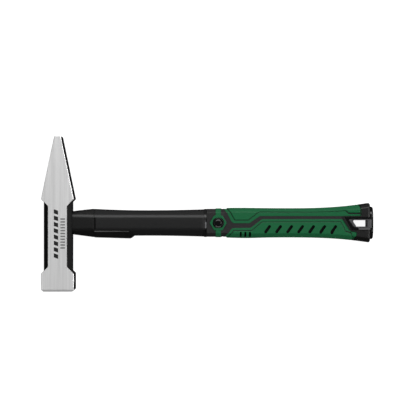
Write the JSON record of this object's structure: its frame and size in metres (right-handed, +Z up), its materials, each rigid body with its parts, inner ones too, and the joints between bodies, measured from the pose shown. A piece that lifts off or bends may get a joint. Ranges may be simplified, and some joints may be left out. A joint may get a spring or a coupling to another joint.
{
  "type": "cross peen hammer",
  "caption": "Cross peen hammer with a square striking face, a tapered peen, a fibreglass handle in a soft two-colour grip, an overstrike guard and a hanging eye.",
  "frame": {"origin": "the point of the lower cheek, on the resting plane, straight below where the handle's axis crosses the head's axis", "axes": "+X along the handle from the head to the butt, +Y along the head from the striking face to the peen, +Z up, square to the cheeks"},
  "size_m": [0.2331, 0.109, 0.023],
  "materials": {
    "forged_steel": "cheeks ground and brushed along the head, waist and sides painted black",
    "cast_resin": "dark cast epoxy, level just below the steel",
    "fibreglass": "pultruded glass fibre rod",
    "black_rubber": "soft moulded rubber with a fine grain",
    "black_plastic": "satin moulded plastic",
    "glossy_black": "polished moulded plastic",
    "green_rubber": "soft moulded rubber, dark green, slight sheen",
    "grey_plastic": "grey moulded plastic with a fine grain"
  },
  "bodies": {
    "root": {"hammer_head": "forged_steel", "eye_resin": "cast_resin", "core_rod": "fibreglass", "shock_collar": "black_rubber", "overstrike_guard": "black_rubber", "neck_jacket": "black_plastic", "stop_ring": "glossy_black", "grip_base": "black_rubber", "hexagon_band": "green_rubber", "upper_pad": "green_rubber", "lower_pad": "green_rubber", "front_medallion": "glossy_black", "back_medallion": "glossy_black", "end_plug": "glossy_black", "eye_liner": "grey_plastic"}
  },
  "joints": []
}
